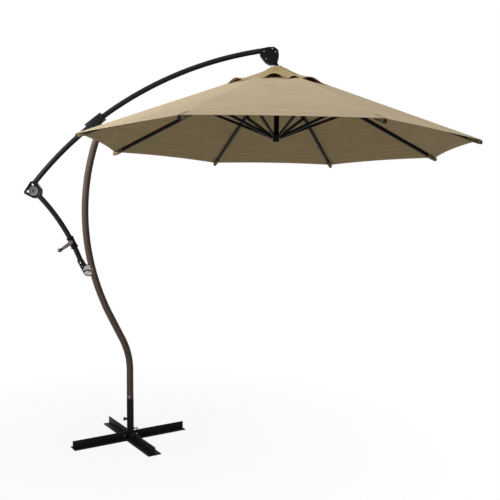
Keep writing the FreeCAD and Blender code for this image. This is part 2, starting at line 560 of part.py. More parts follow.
forkReach = (forkDown - headPin).Length
plates = []
for side in (-1, 1):
    middle = side * (v.forkGap / 2 + v.forkPlate / 2)
    plate = block("forkWidth", "forkPlate", f"{forkReach}",
                  facing(headPin + Vector(0, middle, 0), tuple(forkDown - headPin), (1, 0, 1)), (True, True, False))
    eye = cylinder("forkWidth / 2", "forkPlate", facing(headPin + Vector(0, middle - v.forkPlate / 2, 0), (0, 1, 0)))
    plates.append(fuse(plate, eye))
yoke = cylinder("forkGap / 2 + forkPlate", "14", canopy.multiply(Placement(Vector(0, 0, v.stemTop - 8), Rotation())))
forkBore = pinHole(headPin, "axleRadius + runClearance")
node("tilt_fork", cut(fuse(plates[0], plates[1], yoke), forkBore))

slots = []
for count in range(v.ribCount):
    turn = 360 / v.ribCount * (count + 0.5)
    slots.append(block("hubRadius", "tongueThick + 2 * slotClearance", "hubDepth + 2",
                       Placement(Vector(), Rotation(Vector(0, 0, 1), turn)).multiply(
                           Placement(Vector(v.pivotRadius - 8, 0, 0), Rotation())), (False, True, True)))


def pinSet(height, reach="tongueThick + 8"):
    pins = []
    for count in range(v.ribCount):
        turn = Placement(Vector(), Rotation(Vector(0, 0, 1), 360 / v.ribCount * (count + 0.5)))
        rod = cylinder("hubPin", reach)
        doc.recompute([rod])
        rod.Placement = Placement(Vector(0, 0, height), Rotation()).multiply(turn).multiply(
            facing((v.pivotRadius, -rod.Height.Value / 2, 0), (0, 1, 0)))
        pins.append(rod)
    return pins


hubBore = cylinder("guideRadius + 0.6", "hubDepth / 2 + guideTop + 3",
                   Placement(Vector(0, 0, -v.hubDepth / 2 - 1), Rotation()))
hubDisc = turned("hub", [("0", "-hubDepth / 2"), ("hubRadius", "-hubDepth / 2"), ("hubRadius", "hubDepth / 2"),
                         ("stemRadius", "hubDepth / 2"), ("stemRadius", "stemTop - 20"),
                         ("neckRadius", "stemTop - 8"), ("0", "stemTop - 8")])
node("upper_hub", cut(hubDisc, hubBore, *slots, *pinSet(0)), place=canopy)
node("hub_pins", *pinSet(0), place=canopy)
tiltKnobPlace = canopy.multiply(facing((v.forkGap / 2 + v.forkPlate + 0.4, 0, v.stemTop - 1), (1, 0, 0)))
tiltKnob = turned("tiltknob", [("0", "0"), ("4", "0"), ("4", "5"), ("tiltKnobRadius - 2", "5"),
                               ("tiltKnobRadius", "7"), ("tiltKnobRadius", "tiltKnobLength - 2"),
                               ("tiltKnobRadius - 2", "tiltKnobLength"), ("0", "tiltKnobLength")])
tiltKnob.Placement = tiltKnobPlace
node("tilt_knob", tiltKnob)

# ---- canopy frame: ribs, links and the runner that carries the guide tube ----------------------------

openTurn = math.atan2(v.tipRadius - v.pivotRadius, v.canopyRise)
outwardRun = Vector(math.sin(openTurn), 0, -math.cos(openTurn))
upRun = Vector(math.cos(openTurn), 0, math.sin(openTurn))
ribPlace = facing((v.pivotRadius, 0, 0), tuple(outwardRun), tuple(upRun))   # own Z along the rib, own X up from it
ribLength = math.hypot(v.tipRadius - v.pivotRadius, v.canopyRise)
ribTube = cut(
    block("ribDepth", "ribWidth", f"{ribLength} - ribStart", Placement(Vector(v.ribAbove, 0, v.ribStart), Rotation())),
    block("ribDepth - 2 * ribWall", "ribWidth - 2 * ribWall", f"{ribLength}",
          Placement(Vector(v.ribAbove, 0, v.ribStart + v.ribPlug), Rotation())))
tongueEye = cylinder("tongueRadius", "tongueThick", facing((0, -v.tongueThick / 2, 0), toRear))
riserAt = Vector((v.ribAbove + v.tongueRadius) / 2, 0, v.ribStart - 6)
tongue = fuse(tongueEye, block("2 * tongueRadius", "tongueThick", "ribStart + 22"),
              block("ribAbove - tongueRadius", "tongueThick", "28", Placement(riserAt, Rotation())))
tongueHole = cylinder("hubPin + runClearance", "40", facing((0, -20, 0), (0, 1, 0)))
ribBody = cut(fuse(ribTube, tongue), tongueHole)
cheeks = []
for side in (-1, 1):
    middle = side * (v.ribWidth / 2 + v.cheekPlate / 2)
    cheeks.append(block("ribAbove + 16", "cheekPlate", "cheekLength",
                        Placement(Vector(v.ribAbove / 2 - 2, middle, v.linkLength - v.cheekLength / 2), Rotation())))
jointPin = cylinder("jointPin", "ribWidth + 2 * cheekPlate + 4",
                    facing((0, -v.ribWidth / 2 - v.cheekPlate - 2, v.linkLength), (0, 1, 0)))
sleeveStart = ribLength - v.tipSleeve
ribTip = cut(block("ribDepth - 4", "ribWidth + 2 * tipWall", "tipCap + tipSleeve",
                   Placement(Vector(v.ribAbove - 2, 0, sleeveStart), Rotation())),
             block("ribDepth", "ribWidth", "tipSleeve", Placement(Vector(v.ribAbove, 0, sleeveStart), Rotation())))

linkTube = cut(
    block("linkDepth", "linkWidth", "linkLength - linkStart", Placement(Vector(0, 0, v.linkStart), Rotation())),
    block("linkDepth - 2 * linkWall", "linkWidth - 2 * linkWall", "linkLength - linkStart - 2 * linkPlug",
          Placement(Vector(0, 0, v.linkStart + v.linkPlug), Rotation())))
linkEye = cylinder("linkDepth / 2", "linkWidth", facing((0, -v.linkWidth / 2, v.linkLength), (0, 1, 0)))
linkTongue = fuse(tongueEye, block("2 * tongueRadius", "tongueThick", "linkStart + 12"))
linkBody = cut(fuse(linkTube, linkEye, linkTongue), tongueHole,
               cylinder("jointPin + runClearance", "40", facing((0, -20, v.linkLength), (0, 1, 0))))

runnerDrop = 2 * v.linkLength * math.cos(openTurn)
linkRun = Vector(math.sin(openTurn), 0, math.cos(openTurn))
linkPlace = facing((v.pivotRadius, 0, -runnerDrop), tuple(linkRun), (-math.cos(openTurn), 0, math.sin(openTurn)))


def clothPanel(points, thickness):
    """Closed strip of cloth from rib line to both neighbours' middles; points are (rib, side) pairs."""
    faces = []
    drop = Vector(0, 0, -thickness)
    middle = points["rib"]
    for side in (points["left"], points["right"]):
        for index in range(len(middle) - 1):
            quad = [middle[index], middle[index + 1], side[index + 1], side[index]]
            for shift in (Vector(), drop):
                corners = [corner + shift for corner in quad]
                faces.append(Part.Face(Part.makePolygon(corners + corners[:1])))
            edge = [side[index], side[index + 1], side[index + 1] + drop, side[index] + drop]
            faces.append(Part.Face(Part.makePolygon(edge + edge[:1])))
        for index in (0, -1):
            edge = [middle[index], side[index], side[index] + drop, middle[index] + drop]
            faces.append(Part.Face(Part.makePolygon(edge + edge[:1])))
    solid = Part.makeSolid(Part.makeShell(faces))
    if solid.Volume < 0:
        solid.reverse()
    strip = doc.addObject("Part::Feature", fresh("cloth"))
    strip.Shape = solid
    return strip


def strip(stations, thickness):
    """Strip through (radius, height) stations on the rib; its sides lie on the middles of the gores."""
    half = math.pi / v.ribCount
    rows = {"rib": [], "left": [], "right": []}
    for radius, height in stations:
        rows["rib"].append(Vector(radius, 0, height))
        for name, side in (("left", 1), ("right", -1)):
            chord = Vector(-math.sin(half), side * math.cos(half), 0)
            rows[name].append(rows["rib"][-1] + chord * (radius * math.sin(half) - v.panelGap / 2))
    return clothPanel(rows, thickness)


slope = v.canopyRise / (v.tipRadius - v.pivotRadius)
ridgeFall = slope * v.ribWidth / 2 * math.tan(math.pi / v.ribCount)
clothLift = (v.ribAbove + v.ribDepth / 2 + v.clothGap) / math.sin(openTurn) + ridgeFall


def clothHeight(radius):
    return clothLift - (radius - v.pivotRadius) * slope + v.clothThick


mainStrip = strip([(v.ventRadius, clothHeight(v.ventRadius)), (v.tipRadius, clothHeight(v.tipRadius))], v.clothThick)
capEdge = clothHeight(v.capRadius) + v.clothThick + v.clothGap
capMiddle = v.capInner + (v.capRadius - v.capInner) * v.capBelly
capStrip = strip([(v.capInner, v.capTop), (capMiddle, clothHeight(capMiddle) + 14), (v.capRadius, capEdge)],
                 v.clothThick)

for count in range(v.ribCount):
    turn = canopy.multiply(Placement(Vector(), Rotation(Vector(0, 0, 1), 360 / v.ribCount * (count + 0.5))))
    number = count + 1
    node(f"rib_{number}", ribBody, *cheeks, jointPin, ribTip, place=turn.multiply(ribPlace))
    node(f"link_{number}", linkBody, place=turn.multiply(linkPlace))
    node(f"canopy_panel_{number}", mainStrip, capStrip, place=turn)

runnerPlace = canopy.multiply(Placement(Vector(0, 0, -runnerDrop), Rotation()))
runnerDisc = turned("runner", [("guideRadius", "-hubDepth / 2"), ("hubRadius", "-hubDepth / 2"),
                               ("hubRadius", "hubDepth / 2"), ("guideRadius", "hubDepth / 2")])
node("runner", cut(runnerDisc, *slots, *pinSet(0)), *pinSet(0), place=runnerPlace)
guide = turned("guide", [("guideRadius - guideWall", "-hubDepth / 2 - collarDrop"),
                         ("guideCollar", "-hubDepth / 2 - collarDrop"), ("guideCollar", "-hubDepth / 2"),
                         ("guideRadius", "-hubDepth / 2"), ("guideRadius", f"{runnerDrop} + guideTop"),
                         ("guideRadius - guideWall", f"{runnerDrop} + guideTop")])
node("guide_tube", guide, place=runnerPlace)

# ---- check and write --------------------------------------------------------------------------------

doc.recompute()
faults = [item.Name for item in doc.Objects if {"Invalid", "Error"} & set(item.State)]
for item in nodes:
    if item.Shape.isNull() or not item.Shape.isValid() or not item.Shape.Solids:
        faults.append(f"{item.Label}: bad shape")
if faults:
    print("faults:", faults)
    sys.exit(1)
os.makedirs("parts", exist_ok=True)
for item in nodes:
    item.Shape.exportStep(f"parts/{item.Label}.step")
    box = item.Shape.BoundBox
    print(f"{item.Label:22s} solids {len(item.Shape.Solids)} volume {item.Shape.Volume / 1000:9.2f} cm3"
          f"  x {box.XMin:8.1f} {box.XMax:8.1f}  y {box.YMin:8.1f} {box.YMax:8.1f}  z {box.ZMin:8.1f} {box.ZMax:8.1f}")
print("nodes", len(nodes))
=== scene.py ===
import bpy
import bmesh
import math
import json
from mathutils import Matrix, Vector


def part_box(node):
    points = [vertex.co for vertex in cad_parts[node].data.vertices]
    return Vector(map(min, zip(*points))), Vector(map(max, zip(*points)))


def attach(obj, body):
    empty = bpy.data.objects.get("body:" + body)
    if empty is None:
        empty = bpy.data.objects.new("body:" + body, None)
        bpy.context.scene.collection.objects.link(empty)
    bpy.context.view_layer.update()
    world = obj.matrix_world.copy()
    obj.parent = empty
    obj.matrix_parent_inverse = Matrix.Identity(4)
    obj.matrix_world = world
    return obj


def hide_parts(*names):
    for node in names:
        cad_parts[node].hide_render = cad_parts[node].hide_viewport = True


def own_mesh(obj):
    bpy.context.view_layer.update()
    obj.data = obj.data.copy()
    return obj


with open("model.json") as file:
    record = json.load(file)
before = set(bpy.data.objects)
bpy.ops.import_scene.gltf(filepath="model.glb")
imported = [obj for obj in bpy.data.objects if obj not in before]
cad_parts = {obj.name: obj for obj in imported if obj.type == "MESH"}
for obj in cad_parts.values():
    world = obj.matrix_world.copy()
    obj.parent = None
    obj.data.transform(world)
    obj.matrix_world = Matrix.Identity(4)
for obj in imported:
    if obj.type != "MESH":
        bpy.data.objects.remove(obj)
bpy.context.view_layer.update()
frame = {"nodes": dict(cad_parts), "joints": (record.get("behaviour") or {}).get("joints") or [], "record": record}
nodes = frame["nodes"]
joints = {joint["name"]: joint for joint in frame["joints"]}
bodyOf = {name: body for body, names in frame["record"]["behaviour"]["bodies"].items() for name in names}
slotOf = {part["node"]: part["material_slot"] for part in frame["record"]["subparts"]}

# ---------- materials ----------


def nodeTree(name):
    material = bpy.data.materials.new(name)
    material.use_nodes = True
    tree = material.node_tree
    shader = tree.nodes["Principled BSDF"]
    return material, tree, shader


def put(tree, kind, settings=None, **inputs):
    # one node; a value is set on its socket, a socket is linked to it
    node = tree.nodes.new(kind)
    for key, value in (settings or {}).items():
        setattr(node, key, value)
    for key, value in inputs.items():
        socket = node.inputs[int(key[1:])] if key[0] == "n" and key[1:].isdigit() else node.inputs[key]
        if isinstance(value, bpy.types.NodeSocket):
            tree.links.new(value, socket)
        else:
            socket.default_value = value
    return node


def noiseOf(tree, place, scale, detail=3.0, roughness=0.5):
    return put(tree, "ShaderNodeTexNoise", Vector=place, Scale=scale, Detail=detail, Roughness=roughness).outputs["Fac"]


def rangeOf(tree, value, low, high, toLow, toHigh):
    node = put(tree, "ShaderNodeMapRange", n0=value, n1=low, n2=high, n3=toLow, n4=toHigh)
    return node.outputs[0]


def mixOf(tree, factor, first, second):
    node = put(tree, "ShaderNodeMix", {"data_type": "RGBA"}, n0=factor, n6=first, n7=second)
    return node.outputs[2]


def shade(colour, amount):
    return tuple(channel * amount for channel in colour[:3]) + (1.0,)


def powderCoat(name, colour, roughness=0.5, level=0.25, metallic=0.0, tint=None, wear=0.35, grain=0.5):
    # satin powder coat: orange peel, faint colour drift, lighter rubbed edges
    material, tree, shader = nodeTree(name)
    place = put(tree, "ShaderNodeTexCoord").outputs["Object"]
    drift = noiseOf(tree, place, 7.0, 4.0)
    speck = noiseOf(tree, place, 420.0, 2.0)
    body = mixOf(tree, rangeOf(tree, drift, 0.3, 0.7, 0.0, 1.0), shade(colour, 0.86), shade(colour, 1.14))
    body = mixOf(tree, rangeOf(tree, speck, 0.35, 0.75, 0.0, 0.5), body, shade(colour, 1.3))
    edge = put(tree, "ShaderNodeNewGeometry").outputs["Pointiness"]
    rub = rangeOf(tree, edge, 0.53, 0.62, 0.0, wear)
    body = mixOf(tree, rub, body, shade(tuple(channel + 0.03 for channel in colour[:3]), 2.0))
    tree.links.new(body, shader.inputs["Base Color"])
    tree.links.new(rangeOf(tree, speck, 0.3, 0.7, roughness - 0.06, roughness + 0.08), shader.inputs["Roughness"])
    peel = noiseOf(tree, place, 650.0, 2.0)
    bump = put(tree, "ShaderNodeBump", Height=peel, Strength=grain * 0.3, Distance=0.0004)
    tree.links.new(bump.outputs[0], shader.inputs["Normal"])
    shader.inputs["Metallic"].default_value = metallic
    shader.inputs["Specular IOR Level"].default_value = level
    if tint:
        shader.inputs["Specular Tint"].default_value = tint
    return material


def brightMetal(name, colour, roughness=0.35, metallic=0.85):
    # turned or plated steel: fine circular scratches and a little dulling
    material, tree, shader = nodeTree(name)
    place = put(tree, "ShaderNodeTexCoord").outputs["Object"]
    dull = noiseOf(tree, place, 90.0, 3.0)
    fine = noiseOf(tree, place, 900.0, 2.0)
    body = mixOf(tree, rangeOf(tree, dull, 0.3, 0.7, 0.0, 1.0), shade(colour, 0.78), shade(colour, 1.05))
    tree.links.new(body, shader.inputs["Base Color"])
    tree.links.new(rangeOf(tree, fine, 0.3, 0.7, roughness - 0.08, roughness + 0.1), shader.inputs["Roughness"])
    bump = put(tree, "ShaderNodeBump", Height=fine, Strength=0.1, Distance=0.0002)
    tree.links.new(bump.outputs[0], shader.inputs["Normal"])
    shader.inputs["Metallic"].default_value = metallic
    return material


def mouldedPlastic(name, colour, roughness=0.55):
    material, tree, shader = nodeTree(name)
    place = put(tree, "ShaderNodeTexCoord").outputs["Object"]
    drift = noiseOf(tree, place, 16.0, 3.0)
    leather = put(tree, "ShaderNodeTexVoronoi", Vector=place, Scale=700.0).outputs["Distance"]
    body = mixOf(tree, rangeOf(tree, drift, 0.3, 0.7, 0.0, 1.0), shade(colour, 0.8), shade(colour, 1.25))
    tree.links.new(body, shader.inputs["Base Color"])
    tree.links.new(rangeOf(tree, leather, 0.0, 0.6, roughness + 0.1, roughness - 0.05), shader.inputs["Roughness"])
    bump = put(tree, "ShaderNodeBump", Height=leather, Strength=0.35, Distance=0.0005)
    tree.links.new(bump.outputs[0], shader.inputs["Normal"])
    shader.inputs["Specular IOR Level"].default_value = 0.3
    return material


# the under colour is painted shade: the same cloth as the top, darkened and warmed for the canopy's underside; its
# thread and hem band are darkened with it
clothLook = {"top": (0.50, 0.395, 0.250), "under": (0.46, 0.345, 0.175), "cap": (0.385, 0.285, 0.125),
             "pocket": (0.25, 0.19, 0.105),
             "thread": (0.62, 0.52, 0.37), "slub": 0.21, "drift": 0.07, "weavePitch": 0.0016,
             "stitchPitch": 0.006, "hemStitch": 0.017, "seamStitch": 0.007, "roughness": 0.93}


def canopyCloth(name, colour, look):
    # plain weave with slubs along the hem; "weave" is metres along and up the gore,
    # "edge" is metres from the rib seam and from the hem
    material, tree, shader = nodeTree(name)
    weave = put(tree, "ShaderNodeUVMap", {"uv_map": "weave"}).outputs["UV"]
    edge = put(tree, "ShaderNodeUVMap", {"uv_map": "edge"}).outputs["UV"]
    slubPlace = put(tree, "ShaderNodeMapping", Vector=weave, Scale=(2.4, 66.0, 1.0)).outputs[0]
    slub = noiseOf(tree, slubPlace, 1.0, 3.0, 0.6)
    finePlace = put(tree, "ShaderNodeMapping", Vector=weave, Scale=(14.0, 520.0, 1.0)).outputs[0]
    fine = noiseOf(tree, finePlace, 1.0, 2.0)
    drift = noiseOf(tree, weave, 2.3, 3.0)
    body = mixOf(tree, rangeOf(tree, slub, 0.32, 0.68, 0.0, 1.0),
                 shade(colour, 1 - look["slub"]), shade(colour, 1 + look["slub"] * 0.6))
    body = mixOf(tree, rangeOf(tree, fine, 0.35, 0.7, 0.0, 0.4), body, shade(colour, 0.82))
    body = mixOf(tree, rangeOf(tree, drift, 0.3, 0.75, 0.0, look["drift"] * 4), body, shade(colour, 1.12))
    axes = put(tree, "ShaderNodeSeparateXYZ", Vector=edge)
    fromSeam, fromHem = axes.outputs[0], axes.outputs[1]
    lines = put(tree, "ShaderNodeSeparateXYZ", Vector=weave)
    hemDash = dashes(tree, lines.outputs[0], fromHem, look["hemStitch"], look["stitchPitch"])
    seamDash = dashes(tree, lines.outputs[1], fromSeam, look["seamStitch"], look["stitchPitch"])
    stitch = put(tree, "ShaderNodeMath", {"operation": "MAXIMUM"}, n0=hemDash, n1=seamDash).outputs[0]
    rim = rangeOf(tree, fromHem, 0.0, 0.022, 0.45, 0.0)
    body = mixOf(tree, rim, body, shade(look["thread"], colour[0] / look["top"][0]))
    # painted shade: the cloth is darkened in a thin line along the hem stitches, as shade in their groove
    groove = put(tree, "ShaderNodeMath", {"operation": "SUBTRACT"}, n0=fromHem, n1=look["hemStitch"]).outputs[0]
    groove = put(tree, "ShaderNodeMath", {"operation": "ABSOLUTE"}, n0=groove).outputs[0]
    dip = rangeOf(tree, groove, 0.0, 0.003, 0.35, 0.0)
    body = mixOf(tree, dip, body, shade(colour, 0.6))
    body = mixOf(tree, stitch, body, shade(look["thread"], colour[0] / look["top"][0]))
    tree.links.new(body, shader.inputs["Base Color"])
    turn = 2 * math.pi / look["weavePitch"]
    warp = put(tree, "ShaderNodeMath", {"operation": "SINE"},
               n0=put(tree, "ShaderNodeMath", {"operation": "MULTIPLY"}, n0=lines.outputs[0], n1=turn).outputs[0])
    weft = put(tree, "ShaderNodeMath", {"operation": "SINE"},
               n0=put(tree, "ShaderNodeMath", {"operation": "MULTIPLY"}, n0=lines.outputs[1], n1=turn).outputs[0])
    cross = put(tree, "ShaderNodeMath", {"operation": "MULTIPLY"}, n0=warp.outputs[0], n1=weft.outputs[0])
    height = put(tree, "ShaderNodeMath", {"operation": "MULTIPLY_ADD"}, n0=cross.outputs[0], n1=0.35, n2=slub)
    bump = put(tree, "ShaderNodeBump", Height=height.outputs[0], Strength=0.25, Distance=0.0006)
    tree.links.new(bump.outputs[0], shader.inputs["Normal"])
    shader.inputs["Roughness"].default_value = look["roughness"]
    shader.inputs["Specular IOR Level"].default_value = 0.15
    shader.inputs["Sheen Weight"].default_value = 0.06
    return material


def dashes(tree, alongLine, fromEdge, middle, pitch):
    # stitches of thread: short dashes on a line that keeps its distance from an edge
    wave = put(tree, "ShaderNodeMath", {"operation": "FRACT"},
               n0=put(tree, "ShaderNodeMath", {"operation": "DIVIDE"}, n0=alongLine, n1=pitch).outputs[0])
    on = put(tree, "ShaderNodeMath", {"operation": "LESS_THAN"}, n0=wave.outputs[0], n1=0.62).outputs[0]
    offset = put(tree, "ShaderNodeMath", {"operation": "SUBTRACT"}, n0=fromEdge, n1=middle).outputs[0]
    offset = put(tree, "ShaderNodeMath", {"operation": "ABSOLUTE"}, n0=offset).outputs[0]
    line = put(tree, "ShaderNodeMath", {"operation": "LESS_THAN"}, n0=offset, n1=0.0007).outputs[0]
    return put(tree, "ShaderNodeMath", {"operation": "MULTIPLY"}, n0=on, n1=line).outputs[0]


looks = {
    "black_steel": powderCoat("satinBlackSteel", (0.008, 0.0072, 0.0070), 0.5, 0.05),
    "black_casting": powderCoat("satinBlackCasting", (0.0060, 0.0060, 0.0064), 0.45, 0.05, wear=0.10, grain=1.0),
    "frame_dark": powderCoat("satinBlackFrame", (0.009, 0.0085, 0.0085), 0.5, 0.08),
    "bronze_steel": powderCoat("bronzeSteel", (0.085, 0.060, 0.049), 0.42, 0.06),
    "bronze_boom": powderCoat("darkBronzeTube", (0.012, 0.0108, 0.0104), 0.42, 0.06),
    "bolt_steel": brightMetal("zincSteel", (0.30, 0.30, 0.31), 0.35, 0.6),
    "button_steel": brightMetal("brightSteel", (0.72, 0.72, 0.72), 0.3),
    "disc_grey": brightMetal("greyDisc", (0.20, 0.19, 0.205), 0.42, 0.4),
    "crank_taupe": powderCoat("taupeCrank", (0.115, 0.094, 0.084), 0.45, 0.15),
    "black_plastic": mouldedPlastic("blackPlastic", (0.014, 0.014, 0.015)),
    "bushing_nylon": mouldedPlastic("blackNylon", (0.016, 0.016, 0.016), 0.6),
}
clothTop = canopyCloth("canopyClothTop", clothLook["top"], clothLook)
# material for the cloth's under faces, a painted-shade copy of the top cloth
clothUnderPaintedShade = canopyCloth("canopyClothUnderPaintedShade", clothLook["under"], clothLook)
clothCap = canopyCloth("ventCloth", clothLook["cap"], clothLook)
clothPocket = canopyCloth("pocketCloth", clothLook["pocket"], clothLook)
looks["canopy_cloth"] = clothTop
for name, node in nodes.items():
    node.data.materials.clear()
    node.data.materials.append(looks[slotOf[name]])
print("materials ready")

# ---------- modelling helpers ----------


def deselectAll():
    if bpy.context.object and bpy.context.object.mode == "EDIT":
        bpy.ops.object.mode_set(mode="OBJECT")
    bpy.ops.object.select_all(action="DESELECT")


def activate(piece):
    deselectAll()
    piece.select_set(True)
    bpy.context.view_layer.objects.active = piece


def applyAll(piece):
    activate(piece)
    for modifier in list(piece.modifiers):
        bpy.ops.object.modifier_apply(modifier=modifier.name)


def placeInMesh(piece):
    activate(piece)
    bpy.ops.object.transform_apply(location=True, rotation=True, scale=True)


def pick(piece, test, mode="FACE"):
    # selects in edit mode the faces, edges or points whose centre and normal pass the test
    if piece.mode != "EDIT":
        activate(piece)
        bpy.ops.object.mode_set(mode="EDIT")
    bpy.ops.mesh.select_mode(type=mode)
    bpy.ops.mesh.select_all(action="DESELECT")
    mesh = bmesh.from_edit_mesh(piece.data)
    if mode == "FACE":
        for face in mesh.faces:
            face.select_set(test(face.calc_center_median(), face.normal))
    elif mode == "EDGE":
        for edge in mesh.edges:
            edge.select_set(test((edge.verts[0].co + edge.verts[1].co) / 2, edge.verts[1].co - edge.verts[0].co))
    else:
        for point in mesh.verts:
            point.select_set(test(point.co, point.normal))
    mesh.select_flush_mode()
    bmesh.update_edit_mesh(piece.data)


def outwards(piece):
    activate(piece)
    bpy.ops.object.mode_set(mode="EDIT")
    bpy.ops.mesh.select_all(action="SELECT")
    bpy.ops.mesh.remove_doubles(threshold=0.00002)
    bpy.ops.mesh.normals_make_consistent(inside=False)
    bpy.ops.object.mode_set(mode="OBJECT")


def finishPiece(piece, name, body, slot, replaced=(), material=None, bevel=0.0, smooth=35, segments=2):
    if bevel:
        rounding = piece.modifiers.new("Bevel", "BEVEL")
        rounding.width = bevel
        rounding.segments = segments
        rounding.limit_method = "ANGLE"
        rounding.angle_limit = math.radians(32)
        applyAll(piece)
    piece.name = name
    piece.data.name = name
    placeInMesh(piece)
    bpy.ops.object.shade_smooth_by_angle(angle=math.radians(smooth))
    piece.data.materials.clear()
    piece.data.materials.append(material or looks[slot])
    deselectAll()
    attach(piece, body)
    if replaced:
        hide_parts(*replaced)
    return piece


def dressed(name, nodeName, bevel=0.0, smooth=35, segments=2, replaced=None):
    # a merged copy of a CAD piece with softened edges
    copy = bpy.data.objects.new(name, nodes[nodeName].data.copy())
    bpy.context.scene.collection.objects.link(copy)
    activate(copy)
    bpy.ops.object.mode_set(mode="EDIT")
    bpy.ops.mesh.select_all(action="SELECT")
    bpy.ops.mesh.remove_doubles(threshold=0.00001)
    bpy.ops.mesh.dissolve_limited(angle_limit=math.radians(1.0))
    bpy.ops.object.mode_set(mode="OBJECT")
    return finishPiece(copy, name, bodyOf[nodeName], slotOf[nodeName], replaced or (nodeName,), bevel=bevel,
                       smooth=smooth, segments=segments)


def copyPiece(source, name, move):
    twin = bpy.data.objects.new(name, source.data.copy())
    bpy.context.scene.collection.objects.link(twin)
    twin.data.transform(Matrix.Translation(move))
    return twin


def joined(first, *others):
    deselectAll()
    for piece in (first,) + others:
        piece.select_set(True)
    bpy.context.view_layer.objects.active = first
    bpy.ops.object.join()
    return first


def middleOf(nodeName):
    low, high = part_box(nodeName)
    return (Vector(low) + Vector(high)) / 2


# ---------- camera, light and floor ----------

view = {"place": (0.8808, -4.3020, 1.4434), "tilt": 90 - 2.19, "turn": 0.92, "lens": 46.32, "sensor": 36.0}
camera = bpy.data.objects.new("camera", bpy.data.cameras.new("camera"))
bpy.context.scene.collection.objects.link(camera)
camera.location = view["place"]
camera.rotation_euler = (math.radians(view["tilt"]), 0, math.radians(view["turn"]))
camera.data.lens = view["lens"]
camera.data.sensor_width = view["sensor"]
bpy.context.scene.camera = camera

lamps = {
    "keyLight": {"place": (0.6, -2.6, 6.0), "aim": (0.8, 0, 1.6), "size": 3.0, "power": 76, "spread": 180},
    "sideLight": {"place": (-3.6, -3.4, 2.9), "aim": (-0.35, 0, 2.1), "size": 0.9, "power": 24, "spread": 46},
    "fillLight": {"place": (4.2, -2.6, 4.6), "aim": (0.9, 0, 1.8), "size": 2.4, "power": 30, "spread": 120},
    "backLight": {"place": (0.8, 4.4, 5.0), "aim": (0.8, 0, 1.8), "size": 3.0, "power": 40, "spread": 180},
}
for name, lamp in lamps.items():
    light = bpy.data.objects.new(name, bpy.data.lights.new(name, "AREA"))
    bpy.context.scene.collection.objects.link(light)
    light.location = lamp["place"]
    light.rotation_euler = (Vector(lamp["aim"]) - Vector(lamp["place"])).to_track_quat("-Z", "Y").to_euler()
    light.data.shape = "DISK"
    light.data.size = lamp["size"]
    light.data.energy = lamp["power"]
    light.data.spread = math.radians(lamp["spread"])

room = {"ambient": 0.20, "floorSize": 40.0, "floorBounce": 0.75, "shadowNear": 0.5, "shadowFar": 2.2, "glow": 0.90}
world = bpy.data.worlds.new("studio")
bpy.context.scene.world = world
world.use_nodes = True
worldTree = world.node_tree
background = worldTree.nodes["Background"]
rays = put(worldTree, "ShaderNodeLightPath")
seen = put(worldTree, "ShaderNodeMath", {"operation": "MAXIMUM"},
           n0=rays.outputs["Is Camera Ray"], n1=rays.outputs["Is Glossy Ray"]).outputs[0]
seen = put(worldTree, "ShaderNodeMath", {"operation": "MAXIMUM"},
           n0=seen, n1=rays.outputs["Is Transmission Ray"]).outputs[0]
strength = put(worldTree, "ShaderNodeMapRange", n0=seen, n3=room["ambient"], n4=1.0).outputs[0]
background.inputs["Color"].default_value = (1, 1, 1, 1)
worldTree.links.new(strength, background.inputs["Strength"])

bpy.ops.object.select_all(action="DESELECT")
bpy.ops.mesh.primitive_circle_add(vertices=96, radius=room["floorSize"], fill_type="NGON", location=(0, 0, -0.0005))
floor = bpy.context.object
floor.name = "floor"
floorLook, floorTree, floorShader = nodeTree("paleFloor")
floorShader.inputs["Base Color"].default_value = (0.9, 0.9, 0.9, 1)
floorShader.inputs["Roughness"].default_value = 0.9
floorShader.inputs["Specular IOR Level"].default_value = 0.0
white = put(floorTree, "ShaderNodeEmission", Strength=1.0)
dim = put(floorTree, "ShaderNodeBsdfDiffuse", Color=(room["floorBounce"],) * 3 + (1,))
floorPlace = put(floorTree, "ShaderNodeTexCoord").outputs["Object"]
reach = put(floorTree, "ShaderNodeVectorMath", {"operation": "LENGTH"}, n0=floorPlace).outputs["Value"]
fade = rangeOf(floorTree, reach, room["shadowNear"], room["shadowFar"], room["glow"], 1.0)
lit = put(floorTree, "ShaderNodeMixShader", n0=fade, n1=floorShader.outputs[0], n2=white.outputs[0])
floorRays = put(floorTree, "ShaderNodeLightPath")
shown = put(floorTree, "ShaderNodeMath", {"operation": "MAXIMUM"},
            n0=floorRays.outputs["Is Camera Ray"], n1=floorRays.outputs["Is Glossy Ray"]).outputs[0]
shown = put(floorTree, "ShaderNodeMath", {"operation": "MAXIMUM"},
            n0=shown, n1=floorRays.outputs["Is Transmission Ray"]).outputs[0]
both = put(floorTree, "ShaderNodeMixShader", n0=shown, n1=dim.outputs[0], n2=lit.outputs[0])
floorTree.links.new(both.outputs[0], floorTree.nodes["Material Output"].inputs["Surface"])
floor.data.materials.append(floorLook)
bpy.context.scene.view_settings.view_transform = "Standard"
print("camera, light and floor ready")

# ---------- canopy cloth ----------

ribNames = ["canopy_fold"] + [f"rib_fold_{number}" for number in range(2, 9)]
pivots = [Vector(joints[name]["pos_m"]) for name in ribNames]
hub = sum(pivots, Vector()) / len(pivots)
canopyUp = (pivots[0] - hub).cross(pivots[1] - hub).normalized()
pivotRadius = (pivots[0] - hub).length
halfGore = math.pi / len(pivots)
linkPin = Vector(joints["link_fold_1"]["pos_m"]) - hub
ribFall = -linkPin.dot(canopyUp) / ((linkPin - canopyUp * linkPin.dot(canopyUp)).length - pivotRadius)


def ribFrame(index):
    out = (pivots[index] - hub).normalized()
    return out, canopyUp.cross(out)


def localTip():
    # highest point of the cloth at the tip of the first rib, as (radius, height)
    out = ribFrame(0)[0]
    points = [(point.co - hub) for point in nodes["canopy_panel_1"].data.vertices]
    reach = max(point.dot(out) for point in points)
    return reach, max(point.dot(canopyUp) for point in points if point.dot(out) > reach - 0.0005)


